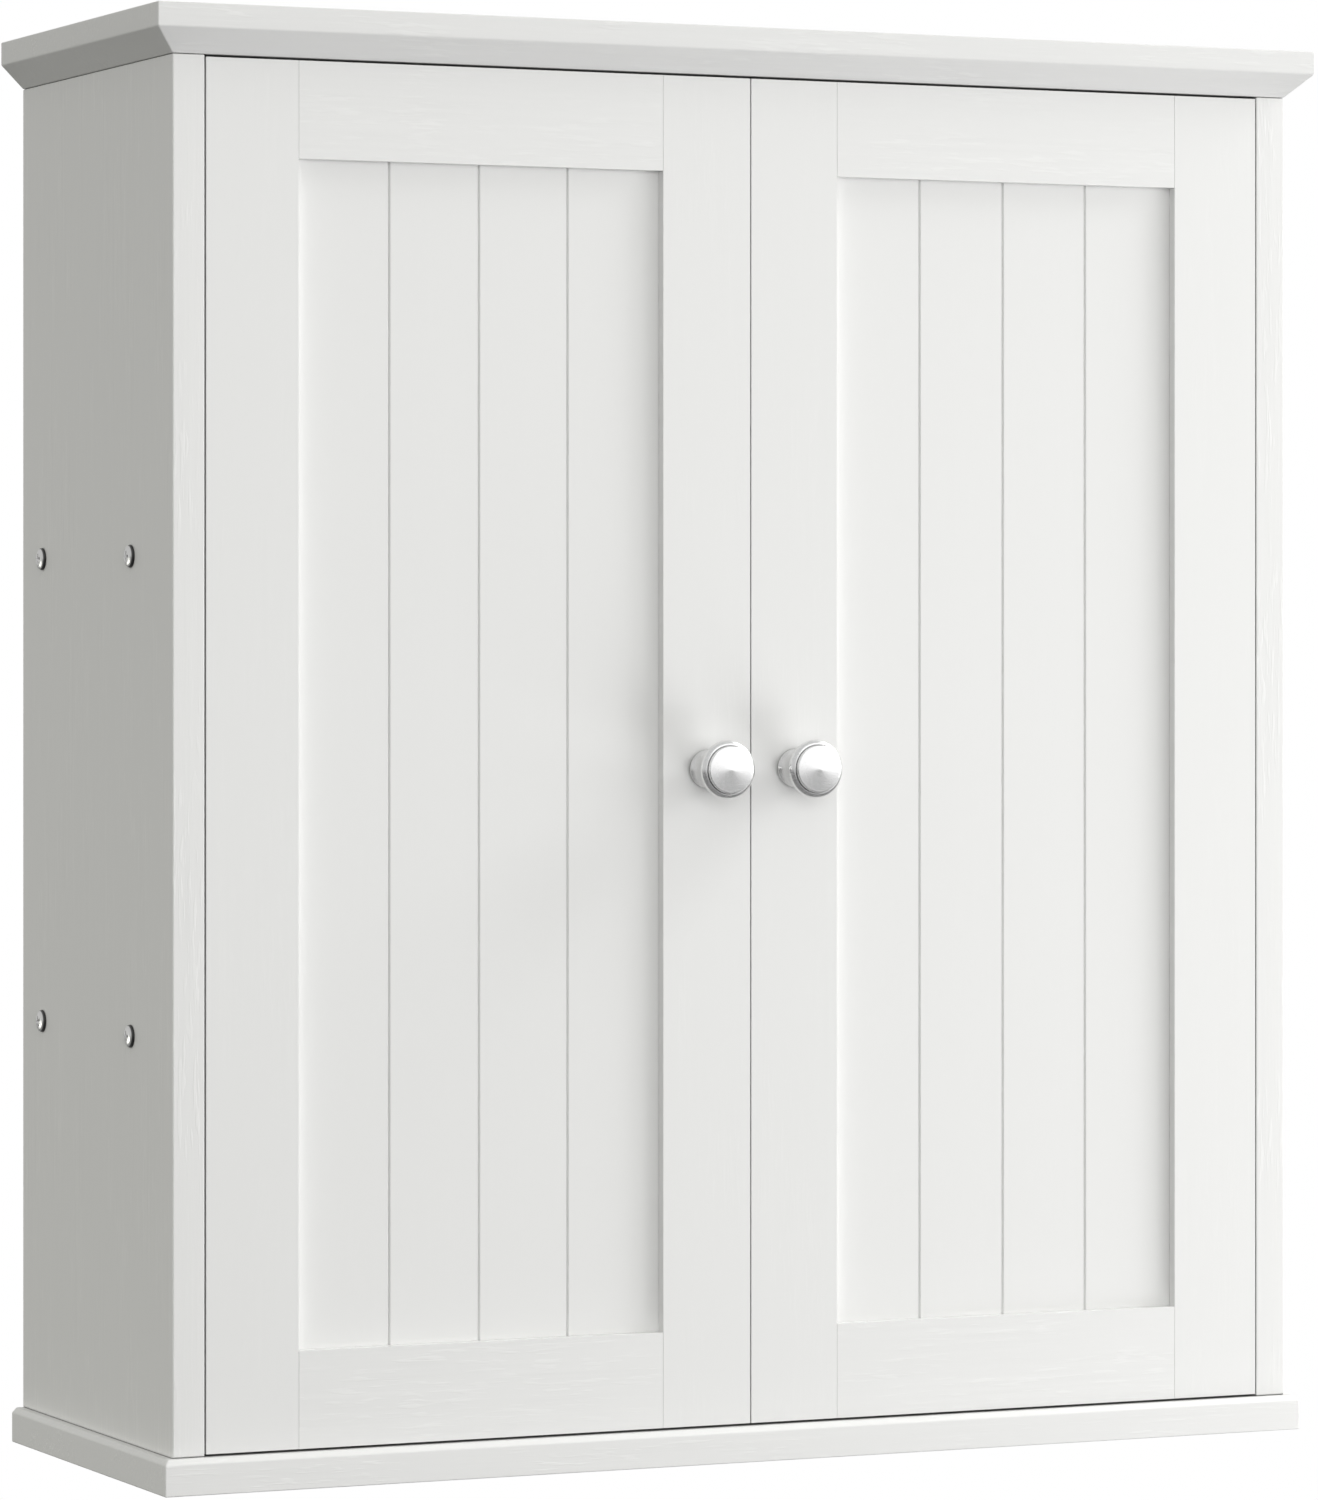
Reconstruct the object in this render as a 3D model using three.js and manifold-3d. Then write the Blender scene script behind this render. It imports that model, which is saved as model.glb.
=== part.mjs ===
// Hanging wall cabinet with two inset doors on concealed hinges and two fixed shelves.
//
// Units are millimetres. +X is to the right as seen from the front, +Y points to the wall
// and +Z is up. The origin is on the wall plane, at the middle of the cabinet's width and
// at the height of the two wall screws in the hanging rail.

import * as THREE from 'three';
import { ConvexGeometry } from 'three/addons/geometries/ConvexGeometry.js';
import { mergeVertices } from 'three/addons/utils/BufferGeometryUtils.js';
import Module from 'manifold-3d';

const wasm = await Module();
wasm.setup();

// ---- Driving dimensions ----

const OVERALL_WIDTH = 543;
const OVERALL_DEPTH = 200;
const OVERALL_HEIGHT = 610;
const WALL_SCREW_BELOW_TOP = 50;
const WALL_SCREW_SPACING = 406;

const CROWN_THICKNESS = 20;
const CROWN_OVERHANG = 10;
const CROWN_BEVEL = 10;
const BASE_THICKNESS = 15;
const BASE_OVERHANG = 5;
const BASE_EDGE = 2;
const SIDE_THICKNESS = 14;
const SHELF_THICKNESS = 15;
const SHELF_SETBACK = 22;
const SHELF_HEIGHTS = { shelf_lower: 169.9, shelf_upper: 369.7 };
const BACK_THICKNESS = 3;
const REBATE_WIDTH = 8;
const RAIL_HEIGHT = 60;
const RAIL_THICKNESS = 15;

const DOOR_THICKNESS = 15;
const DOOR_END_GAP = 1;
const DOOR_SIDE_GAP = 0.6;
const STILE_WIDTH = 40.65;
const DOOR_RAIL_HEIGHT = 40.5;
const PANEL_RECESS = 5;
const PANEL_THICKNESS = 5;
const TONGUE = 7.5;
const SLOT_DEPTH = 8;
const PLANK_PITCH = 40.5;
const GROOVE_WIDTH = 1.25;
const GROOVE_DEPTH = 1.2;
const GROOVES = [-1, 0, 1];

const KNOB_HEIGHT_ABOVE_BASE = 280;
const KNOB_SIDES = 32;
const KNOB_SCREW_LENGTH = 22;
const KNOB_SCREW_HEAD_RADIUS = 3.8;
const KNOB_SCREW_HEAD_HEIGHT = 2;

const HINGE_FROM_DOOR_END = 89;
const CUP_CENTRE = 18;
const CUP_RADIUS = 12.9;
const CUP_WALL = 1;
const CUP_FLOOR = 4.3;
const BORE_RADIUS = 13.1;
const BORE_FLOOR = 4;
const CUP_SIDES = 36;

const SCREW_RADIUS = 2;
const SCREW_HOLE_RADIUS = 2.3;
const SIDE_SCREW_SETBACKS = [50.7, 163.5];
const END_SCREW_SETBACKS = [40, 150];
const RAIL_SCREW_OFFSET = 120;

const SEAM = 0.1; // between boards that are screwed together
const PLAY = 0.15; // around a tongue in its slot
const RUNNING_GAP = 0.3; // between hinge pieces that move

// ---- Places worked out from the driving dimensions ----

const TOP_Z = WALL_SCREW_BELOW_TOP;
const UNDERSIDE_Z = TOP_Z - OVERALL_HEIGHT;
const SIDE_TOP_Z = TOP_Z - CROWN_THICKNESS;
const SIDE_BOTTOM_Z = UNDERSIDE_Z + BASE_THICKNESS;
const FRONT_Y = CROWN_OVERHANG - OVERALL_DEPTH;
const OUTER_X = OVERALL_WIDTH / 2 - CROWN_OVERHANG;
const INNER_X = OUTER_X - SIDE_THICKNESS;
const SIDE_MIDDLE_X = (OUTER_X + INNER_X) / 2;
const BACK_FRONT_Y = -BACK_THICKNESS - RUNNING_GAP;
const RAIL_MIDDLE_Y = BACK_FRONT_Y - RAIL_THICKNESS / 2;

const DOOR_BOTTOM_Z = SIDE_BOTTOM_Z + DOOR_END_GAP;
const DOOR_TOP_Z = SIDE_TOP_Z - DOOR_END_GAP;
const DOOR_WIDTH = (2 * INNER_X - 3 * DOOR_SIDE_GAP) / 2;
const DOOR_EDGE = DOOR_SIDE_GAP;
const DOOR_FREE_EDGE = DOOR_SIDE_GAP + DOOR_WIDTH;
const PANEL_BACK = PANEL_RECESS + PANEL_THICKNESS;
const HINGE_HEIGHTS = {
  upper: DOOR_TOP_Z - HINGE_FROM_DOOR_END,
  lower: DOOR_BOTTOM_Z + HINGE_FROM_DOOR_END,
};

// ---- Materials ----

const foil = () => new THREE.MeshStandardMaterial({ color: 0xf1f1ef, roughness: 0.5, metalness: 0 });
const backBoard = () => new THREE.MeshStandardMaterial({ color: 0xe9e9e6, roughness: 0.6, metalness: 0 });
const steel = () => new THREE.MeshStandardMaterial({ color: 0xc9cacb, roughness: 0.35, metalness: 1 });
const nickel = () => new THREE.MeshStandardMaterial({ color: 0xb9babc, roughness: 0.25, metalness: 1 });

// ---- Geometry helpers ----

function block([x0, y0, z0], [x1, y1, z1]) {
  const geometry = new THREE.BoxGeometry(x1 - x0, y1 - y0, z1 - z0);
  return geometry.translate((x0 + x1) / 2, (y0 + y1) / 2, (z0 + z1) / 2);
}

function shapeOf(outline) {
  return new THREE.Shape(outline.map(([a, b]) => new THREE.Vector2(a, b)));
}

// A plan outline of (x, y) points raised from z0 to z1.
function prismZ(outline, z0, z1) {
  const geometry = new THREE.ExtrudeGeometry(shapeOf(outline), { depth: z1 - z0, bevelEnabled: false });
  return geometry.translate(0, 0, z0);
}

// A section of (y, z) points drawn out from x0 to x1.
function prismX(section, x0, x1) {
  const geometry = new THREE.ExtrudeGeometry(shapeOf(section), { depth: x1 - x0, bevelEnabled: false });
  const yAxis = new THREE.Vector3(0, 1, 0);
  const zAxis = new THREE.Vector3(0, 0, 1);
  const xAxis = new THREE.Vector3(1, 0, 0);
  geometry.applyMatrix4(new THREE.Matrix4().makeBasis(yAxis, zAxis, xAxis));
  return geometry.translate(x0, 0, 0);
}

// A profile of (radius, y) points turned about the Y axis.
function turned(profile, sides) {
  const points = profile.map(([radius, y]) => new THREE.Vector2(radius, y));
  return new THREE.LatheGeometry(points, sides);
}

function rod(radius, y0, y1, sides) {
  return turned([[0, y0], [radius, y0], [radius, y1], [0, y1]], sides);
}

function rodZ(radius, [x, y], z0, z1, sides) {
  return rod(radius, z0, z1, sides).rotateX(Math.PI / 2).translate(x, y, 0);
}

function rodX(radius, [y, z], x0, x1, sides) {
  return rod(radius, x0, x1, sides).rotateZ(-Math.PI / 2).translate(0, y, z);
}

// The outline of a bent strip of even width, seen edge on, along a list of (x, y) points.
function strip(path, width) {
  const sides = [[], []];
  path.forEach((point, i) => {
    const before = path[Math.max(i - 1, 0)];
    const after = path[Math.min(i + 1, path.length - 1)];
    const inDirection = new THREE.Vector2(point[0] - before[0], point[1] - before[1]).normalize();
    const outDirection = new THREE.Vector2(after[0] - point[0], after[1] - point[1]).normalize();
    const along = inDirection.clone().add(outDirection).normalize();
    const single = i === 0 ? outDirection : inDirection;
    const reach = width / 2 / Math.max(along.dot(single), 0.5);
    sides[0].push([point[0] - along.y * reach, point[1] + along.x * reach]);
    sides[1].unshift([point[0] + along.y * reach, point[1] - along.x * reach]);
  });
  return [...sides[0], ...sides[1]];
}

function solid(geometry) {
  const bare = geometry.clone();
  bare.deleteAttribute('normal');
  bare.deleteAttribute('uv');
  const merged = mergeVertices(bare);
  return new wasm.Manifold(new wasm.Mesh({
    numProp: 3,
    vertProperties: Float32Array.from(merged.attributes.position.array),
    triVerts: Uint32Array.from(merged.index.array),
  }));
}

function carve(body, cuts = [], additions = []) {
  let result = solid(body);
  for (const addition of additions) {
    result = result.add(solid(addition));
  }
  for (const cut of cuts) {
    result = result.subtract(solid(cut));
  }
  const mesh = result.getMesh();
  const geometry = new THREE.BufferGeometry();
  geometry.setAttribute('position', new THREE.BufferAttribute(mesh.vertProperties, 3));
  geometry.setIndex(new THREE.BufferAttribute(mesh.triVerts, 1));
  return geometry;
}

// The same piece for the other side of the cabinet.
function mirrored(geometry) {
  const bare = geometry.clone();
  bare.deleteAttribute('normal');
  bare.deleteAttribute('uv');
  const flipped = mergeVertices(bare).scale(-1, 1, 1);
  const index = flipped.index.array;
  for (let i = 0; i < index.length; i += 3) {
    [index[i], index[i + 1]] = [index[i + 1], index[i]];
  }
  return flipped;
}

function piece(parent, name, geometry, material) {
  const mesh = new THREE.Mesh(geometry, material());
  mesh.name = name;
  parent.add(mesh);
  return mesh;
}

// ---- Screws ----

const SCREW_SIDES = 12;
const SCREW_TIP = 3;

// The dome of a pan head, as fractions of the head's radius and height.
const PAN_HEAD_DOME = [
  [1, 0],
  [1, 0.35],
  [0.86, 0.75],
  [0.55, 1],
  [0, 1],
];
const RECESS_REACH = 0.5; // as a fraction of the head's radius
const RECESS_HALF_WIDTH = 0.6;
const RECESS_DEPTH = 1.1;

// A pan head screw along -Y, with the underside of its head at the origin.
function panHeadScrew(headRadius, headHeight, length) {
  const dome = PAN_HEAD_DOME.map(([radius, height]) => [radius * headRadius, height * headHeight]);
  const shank = [
    [0, -length],
    [SCREW_RADIUS, SCREW_TIP - length],
    [SCREW_RADIUS, 0],
  ];
  const reach = headRadius * RECESS_REACH;
  const floor = headHeight - RECESS_DEPTH;
  const clear = headHeight + 1;
  const recess = [
    block([-reach, floor, -RECESS_HALF_WIDTH], [reach, clear, RECESS_HALF_WIDTH]),
    block([-RECESS_HALF_WIDTH, floor, -reach], [RECESS_HALF_WIDTH, clear, reach]),
  ];
  return carve(turned([...shank, ...dome], SCREW_SIDES), recess);
}

const COUNTERSUNK_HEAD_RADIUS = 4;
const COUNTERSUNK_HEAD_DEPTH = 2.5;
const COUNTERSUNK_HEAD_RIM = 0.4;

// A countersunk screw along -Y, with the top of its head at the origin.
function countersunkScrew(length) {
  const profile = [
    [0, -length],
    [SCREW_RADIUS, SCREW_TIP - length],
    [SCREW_RADIUS, -COUNTERSUNK_HEAD_DEPTH],
    [COUNTERSUNK_HEAD_RADIUS, -COUNTERSUNK_HEAD_RIM],
    [COUNTERSUNK_HEAD_RADIUS, 0],
    [0, 0],
  ];
  return turned(profile, SCREW_SIDES);
}

// The hole for a countersunk screw along -Y, open at the top.
function countersunkHole(length) {
  const mouth = COUNTERSUNK_HEAD_RADIUS + RUNNING_GAP;
  const profile = [
    [0, -length - 1],
    [SCREW_HOLE_RADIUS, -length - 1],
    [SCREW_HOLE_RADIUS, -COUNTERSUNK_HEAD_DEPTH - RUNNING_GAP],
    [mouth, -COUNTERSUNK_HEAD_RIM - RUNNING_GAP],
    [mouth, 1],
    [0, 1],
  ];
  return turned(profile, SCREW_SIDES);
}

const CROWN_SCREW_LENGTH = 45;
const BASE_SCREW_LENGTH = 42;
const HEAD_SINK = 0.3;

// The (x, y) places of the screws that go down through the crown, by name.
function crownScrewPlaces() {
  const [front, rear] = END_SCREW_SETBACKS.map((setback) => FRONT_Y + setback);
  return {
    crown_screw_left_front: [-SIDE_MIDDLE_X, front],
    crown_screw_left_rear: [-SIDE_MIDDLE_X, rear],
    crown_screw_right_front: [SIDE_MIDDLE_X, front],
    crown_screw_right_rear: [SIDE_MIDDLE_X, rear],
    crown_screw_rail_left: [-RAIL_SCREW_OFFSET, RAIL_MIDDLE_Y],
    crown_screw_rail_right: [RAIL_SCREW_OFFSET, RAIL_MIDDLE_Y],
  };
}

function baseScrewPlaces() {
  const [front, rear] = END_SCREW_SETBACKS.map((setback) => FRONT_Y + setback);
  return {
    base_screw_left_front: [-SIDE_MIDDLE_X, front],
    base_screw_left_rear: [-SIDE_MIDDLE_X, rear],
    base_screw_right_front: [SIDE_MIDDLE_X, front],
    base_screw_right_rear: [SIDE_MIDDLE_X, rear],
  };
}

const headUp = (geometry) => geometry.rotateX(Math.PI / 2);
const headDown = (geometry) => geometry.rotateX(-Math.PI / 2);

function crownHole([x, y]) {
  return headUp(countersunkHole(CROWN_SCREW_LENGTH)).translate(x, y, TOP_Z);
}

function baseHole([x, y]) {
  return headDown(countersunkHole(BASE_SCREW_LENGTH)).translate(x, y, UNDERSIDE_Z);
}

// ---- Carcass ----

// A board with a sloped edge at its front and sides. A rim gives half the board's width,
// its front and its height at one level.
function edgedBoard(rims) {
  const corners = [];
  for (const [x, y, z] of rims) {
    for (const side of [-1, 1]) {
      corners.push(new THREE.Vector3(side * x, y, z));
      corners.push(new THREE.Vector3(side * x, 0, z));
    }
  }
  return new ConvexGeometry(corners);
}

// The crown has an upright edge over a bevel that runs back to the side panels.
function crownBoard() {
  const x = OVERALL_WIDTH / 2;
  const y = -OVERALL_DEPTH;
  const board = edgedBoard([
    [x, y, TOP_Z],
    [x, y, SIDE_TOP_Z + CROWN_BEVEL],
    [x - CROWN_BEVEL, y + CROWN_BEVEL, SIDE_TOP_Z],
  ]);
  return carve(board, Object.values(crownScrewPlaces()).map(crownHole));
}

// The base's upper edge is eased.
function baseBoard() {
  const x = OUTER_X + BASE_OVERHANG;
  const y = FRONT_Y - BASE_OVERHANG;
  const board = edgedBoard([
    [x, y, UNDERSIDE_Z],
    [x, y, SIDE_BOTTOM_Z - BASE_EDGE],
    [x - BASE_EDGE, y + BASE_EDGE, SIDE_BOTTOM_Z],
  ]);
  return carve(board, Object.values(baseScrewPlaces()).map(baseHole));
}

// The left side panel, with a rebate for the back panel along its rear edge.
function sidePanel() {
  const rebateX = -INNER_X - REBATE_WIDTH;
  const outline = [
    [-OUTER_X, FRONT_Y],
    [-INNER_X, FRONT_Y],
    [-INNER_X, BACK_FRONT_Y],
    [rebateX, BACK_FRONT_Y],
    [rebateX, 0],
    [-OUTER_X, 0],
  ];
  const board = prismZ(outline, SIDE_BOTTOM_Z + SEAM, SIDE_TOP_Z - SEAM);
  const holes = [];
  for (const height of Object.values(SHELF_HEIGHTS)) {
    for (const setback of SIDE_SCREW_SETBACKS) {
      const centre = [FRONT_Y + setback, SIDE_BOTTOM_Z + height];
      holes.push(rodX(SCREW_HOLE_RADIUS, centre, -OUTER_X - 1, -INNER_X + 1, SCREW_SIDES));
    }
  }
  for (const setback of END_SCREW_SETBACKS) {
    const place = [-SIDE_MIDDLE_X, FRONT_Y + setback];
    holes.push(crownHole(place), baseHole(place));
  }
  return carve(board, holes);
}

const SIDE_SCREW_LENGTH = 38;
const SIDE_SCREW_HEAD_RADIUS = 4.75;
const SIDE_SCREW_HEAD_HEIGHT = 2.1;

function shelf(height) {
  const z = SIDE_BOTTOM_Z + height;
  const x = INNER_X - SEAM;
  const holeEnd = OUTER_X - SIDE_SCREW_LENGTH - 1;
  const board = block(
    [-x, FRONT_Y + SHELF_SETBACK, z - SHELF_THICKNESS / 2],
    [x, BACK_FRONT_Y, z + SHELF_THICKNESS / 2],
  );
  const holes = [];
  for (const setback of SIDE_SCREW_SETBACKS) {
    const centre = [FRONT_Y + setback, z];
    holes.push(rodX(SCREW_HOLE_RADIUS, centre, -x - 1, -holeEnd, SCREW_SIDES));
    holes.push(rodX(SCREW_HOLE_RADIUS, centre, holeEnd, x + 1, SCREW_SIDES));
  }
  return carve(board, holes);
}

const WALL_SCREW_HOLE_RADIUS = 3;
const WALL_SCREW_HOLE_SIDES = 16;

function wallScrewHoles() {
  const start = BACK_FRONT_Y - RAIL_THICKNESS - 1;
  return [-1, 1].map((side) => {
    const hole = rod(WALL_SCREW_HOLE_RADIUS, start, 1, WALL_SCREW_HOLE_SIDES);
    return hole.translate((side * WALL_SCREW_SPACING) / 2, 0, 0);
  });
}

function backPanel() {
  const x = INNER_X + REBATE_WIDTH - RUNNING_GAP;
  const board = block([-x, -BACK_THICKNESS, SIDE_BOTTOM_Z + SEAM], [x, 0, SIDE_TOP_Z - SEAM]);
  return carve(board, wallScrewHoles());
}

function hangingRail() {
  const x = INNER_X - SEAM;
  const top = SIDE_TOP_Z - SEAM;
  const board = block([-x, BACK_FRONT_Y - RAIL_THICKNESS, top - RAIL_HEIGHT], [x, BACK_FRONT_Y, top]);
  const places = crownScrewPlaces();
  const holes = [places.crown_screw_rail_left, places.crown_screw_rail_right].map(crownHole);
  return carve(board, [...wallScrewHoles(), ...holes]);
}

function buildCarcass() {
  const carcass = new THREE.Group();
  piece(carcass, 'crown_board', crownBoard(), foil);
  piece(carcass, 'base_board', baseBoard(), foil);
  piece(carcass, 'side_panel_left', sidePanel(), foil);
  piece(carcass, 'side_panel_right', mirrored(sidePanel()), foil);
  piece(carcass, 'back_panel', backPanel(), backBoard);
  piece(carcass, 'hanging_rail', hangingRail(), foil);
  for (const [name, height] of Object.entries(SHELF_HEIGHTS)) {
    piece(carcass, name, shelf(height), foil);
  }
  return carcass;
}

// Four screws through each side panel hold the shelves.
function buildShelfScrews() {
  const screws = new THREE.Group();
  for (const [shelfName, height] of Object.entries(SHELF_HEIGHTS)) {
    for (const [sideName, side] of [['left', -1], ['right', 1]]) {
      SIDE_SCREW_SETBACKS.forEach((setback, i) => {
        const geometry = panHeadScrew(SIDE_SCREW_HEAD_RADIUS, SIDE_SCREW_HEAD_HEIGHT, SIDE_SCREW_LENGTH);
        const name = `${shelfName}_screw_${sideName}_${['front', 'rear'][i]}`;
        const screw = piece(screws, name, geometry, steel);
        screw.rotation.z = (-side * Math.PI) / 2;
        screw.position.set(side * (OUTER_X + SEAM), FRONT_Y + setback, SIDE_BOTTOM_Z + height);
      });
    }
  }
  return screws;
}

function buildEndScrews() {
  const screws = new THREE.Group();
  for (const [name, [x, y]] of Object.entries(crownScrewPlaces())) {
    const screw = piece(screws, name, headUp(countersunkScrew(CROWN_SCREW_LENGTH)), steel);
    screw.position.set(x, y, TOP_Z - HEAD_SINK);
  }
  for (const [name, [x, y]] of Object.entries(baseScrewPlaces())) {
    const screw = piece(screws, name, headDown(countersunkScrew(BASE_SCREW_LENGTH)), steel);
    screw.position.set(x, y, UNDERSIDE_Z + HEAD_SINK);
  }
  return screws;
}

// ---- Door ----
//
// A door is drawn for the left side, from a local origin on the side panel's inner face and
// the front plane: x runs towards the cabinet's middle and y runs into the cabinet.

// A slot for the panel's tongue, cut into a frame piece between two depths.
const SLOT_FRONT = PANEL_RECESS - PLAY;
const SLOT_BACK = PANEL_BACK + PLAY;

// A stile's plan outline, with its slot on the side towards the panel.
function stileOutline(outerEdge, slotEdge) {
  const inwards = Math.sign(outerEdge - slotEdge);
  const slotEnd = slotEdge + inwards * SLOT_DEPTH;
  return [
    [outerEdge, 0],
    [slotEdge, 0],
    [slotEdge, SLOT_FRONT],
    [slotEnd, SLOT_FRONT],
    [slotEnd, SLOT_BACK],
    [slotEdge, SLOT_BACK],
    [slotEdge, DOOR_THICKNESS],
    [outerEdge, DOOR_THICKNESS],
  ];
}

const HINGE_STILE_INNER = DOOR_EDGE + STILE_WIDTH;
const KNOB_STILE_INNER = DOOR_FREE_EDGE - STILE_WIDTH;
const KNOB_X = DOOR_FREE_EDGE - STILE_WIDTH / 2;
const KNOB_Z = SIDE_BOTTOM_Z + KNOB_HEIGHT_ABOVE_BASE;

function hingeStile() {
  const board = prismZ(stileOutline(DOOR_EDGE, HINGE_STILE_INNER), DOOR_BOTTOM_Z, DOOR_TOP_Z);
  const bores = Object.values(HINGE_HEIGHTS).map((z) => {
    const bore = rod(BORE_RADIUS, BORE_FLOOR, DOOR_THICKNESS + 1, CUP_SIDES);
    return bore.translate(CUP_CENTRE, 0, z);
  });
  return carve(board, bores);
}

function knobStile() {
  const board = prismZ(stileOutline(DOOR_FREE_EDGE, KNOB_STILE_INNER), DOOR_BOTTOM_Z, DOOR_TOP_Z);
  const hole = rod(SCREW_HOLE_RADIUS, -1, DOOR_THICKNESS + 1, SCREW_SIDES);
  return carve(board, [hole.translate(KNOB_X, 0, KNOB_Z)]);
}

// A rail's section from its outer edge to its slotted edge, with a stub tenon at each end.
function doorRail(outerZ, slotZ) {
  const inwards = Math.sign(outerZ - slotZ);
  const slotEnd = slotZ + inwards * SLOT_DEPTH;
  const section = [
    [0, outerZ],
    [0, slotZ],
    [SLOT_FRONT, slotZ],
    [SLOT_FRONT, slotEnd],
    [SLOT_BACK, slotEnd],
    [SLOT_BACK, slotZ],
    [DOOR_THICKNESS, slotZ],
    [DOOR_THICKNESS, outerZ],
  ];
  const x0 = HINGE_STILE_INNER + SEAM;
  const x1 = KNOB_STILE_INNER - SEAM;
  const low = Math.min(outerZ, slotEnd);
  const high = Math.max(outerZ, slotEnd);
  const tenon = block(
    [HINGE_STILE_INNER - TONGUE, PANEL_RECESS, low],
    [KNOB_STILE_INNER + TONGUE, PANEL_BACK, high],
  );
  return carve(prismX(section, x0, x1), [], [tenon]);
}

const RAIL_INNER_TOP_Z = DOOR_TOP_Z - DOOR_RAIL_HEIGHT;
const RAIL_INNER_BOTTOM_Z = DOOR_BOTTOM_Z + DOOR_RAIL_HEIGHT;

// The panel's plan outline has a V groove between each two planks.
function doorPanel() {
  const x0 = HINGE_STILE_INNER - TONGUE;
  const x1 = KNOB_STILE_INNER + TONGUE;
  const middle = (x0 + x1) / 2;
  const outline = [[x0, PANEL_RECESS]];
  for (const i of GROOVES) {
    const x = middle + i * PLANK_PITCH;
    outline.push([x - GROOVE_WIDTH / 2, PANEL_RECESS]);
    outline.push([x, PANEL_RECESS + GROOVE_DEPTH]);
    outline.push([x + GROOVE_WIDTH / 2, PANEL_RECESS]);
  }
  outline.push([x1, PANEL_RECESS], [x1, PANEL_BACK], [x0, PANEL_BACK]);
  return prismZ(outline, RAIL_INNER_BOTTOM_Z - TONGUE, RAIL_INNER_TOP_Z + TONGUE);
}

// The knob stands out along -Y from the door's front: a foot, a waist, a wide ring and a
// shallow cone as its face.
function knobProfile() {
  const waist = [
    [8.3, -1.2],
    [7.2, -2.6],
    [6.2, -5],
    [5.9, -8],
    [6.3, -11],
    [7.6, -14.5],
    [9.8, -17.4],
    [11.8, -19.2],
  ];
  return [
    [0, -SEAM],
    [8.3, -SEAM],
    ...waist,
    [12.5, -20.2],
    [12.5, -21.4],
    [11.8, -22.3],
    [10.2, -22.8],
    [10.05, -24.4],
    [0, -25.3],
  ];
}

function knob() {
  const boreDepth = KNOB_SCREW_LENGTH - DOOR_THICKNESS + 2;
  const profile = knobProfile().reverse();
  const bore = rod(SCREW_HOLE_RADIUS, -boreDepth, 1, SCREW_SIDES);
  return carve(turned(profile, KNOB_SIDES), [bore]);
}

function buildDoor(sideName, orient) {
  const door = new THREE.Group();
  piece(door, `${sideName}_hinge_stile`, orient(hingeStile()), foil);
  piece(door, `${sideName}_knob_stile`, orient(knobStile()), foil);
  piece(door, `${sideName}_top_rail`, orient(doorRail(DOOR_TOP_Z, RAIL_INNER_TOP_Z)), foil);
  piece(door, `${sideName}_bottom_rail`, orient(doorRail(DOOR_BOTTOM_Z, RAIL_INNER_BOTTOM_Z)), foil);
  piece(door, `${sideName}_grooved_panel`, orient(doorPanel()), foil);
  piece(door, `${sideName}_knob`, orient(knob().translate(KNOB_X, 0, KNOB_Z)), nickel);
  const screw = panHeadScrew(KNOB_SCREW_HEAD_RADIUS, KNOB_SCREW_HEAD_HEIGHT, KNOB_SCREW_LENGTH);
  screw.translate(KNOB_X, DOOR_THICKNESS + SEAM, KNOB_Z);
  piece(door, `${sideName}_knob_screw`, orient(screw), steel);
  return door;
}

// ---- Concealed hinge ----
//
// It is drawn at its own height, z = 0, in the door's local axes. The cup is in the door.
// The plate and arm stay on the side panel. Two links turn on pins in the arm's nose.

const ARM_HALF_HEIGHT = 5;
const CHEEK = 1.2;
const FORK_HALF_HEIGHT = ARM_HALF_HEIGHT - CHEEK;
const PIN_RADIUS = 1.25;
const EYE_RADIUS = 2.2;
const EYE_SIDES = 20;
const LINK_THICKNESS = 1.6;
const LINK_HEIGHT = 3.2;
const FLANGE_TOP = 16.1;
const WING_HALF_WIDTH = 9;
const WING_HALF_HEIGHT = 24;
const WING_SCREW_OFFSET = 19;
const WING_SCREW_HOLE_RADIUS = 1.7;
const RIM_GAP_HALF_HEIGHT = 8.5;

const LINKS = {
  outer_link: { pin: [25.6, 9.6], bend: [22, 7.3], end: [9.5, 7.3], zSide: 1 },
  inner_link: { pin: [21.8, 13.2], bend: [19.8, 9.2], end: [8.6, 6.9], zSide: -1 },
};

// The cup, with a wing above and below for its two screws. Its rim is lower between the
// wings, where the links swing out.
function hingeCup() {
  const inner = CUP_RADIUS - CUP_WALL;
  const cavityFloor = CUP_FLOOR + CUP_WALL;
  const shell = turned([
    [0, CUP_FLOOR],
    [CUP_RADIUS, CUP_FLOOR],
    [CUP_RADIUS, FLANGE_TOP],
    [inner, FLANGE_TOP],
    [inner, cavityFloor],
    [0, cavityFloor],
  ], CUP_SIDES);
  const sheet = block(
    [-WING_HALF_WIDTH, DOOR_THICKNESS + SEAM, -WING_HALF_HEIGHT],
    [WING_HALF_WIDTH, FLANGE_TOP, WING_HALF_HEIGHT],
  );
  const mouth = rod(inner, 0, FLANGE_TOP + 1, CUP_SIDES);
  const screwHoles = [-1, 1].map((end) => {
    const hole = rod(WING_SCREW_HOLE_RADIUS, 0, FLANGE_TOP + 1, SCREW_SIDES);
    return hole.translate(0, 0, end * WING_SCREW_OFFSET);
  });
  const wings = carve(sheet, [mouth, ...screwHoles]);
  const rimGap = block(
    [-CUP_RADIUS - 1, DOOR_THICKNESS, -RIM_GAP_HALF_HEIGHT],
    [CUP_RADIUS + 1, FLANGE_TOP + 1, RIM_GAP_HALF_HEIGHT],
  );
  return carve(shell, [rimGap], [wings]).translate(CUP_CENTRE, 0, 0);
}

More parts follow.
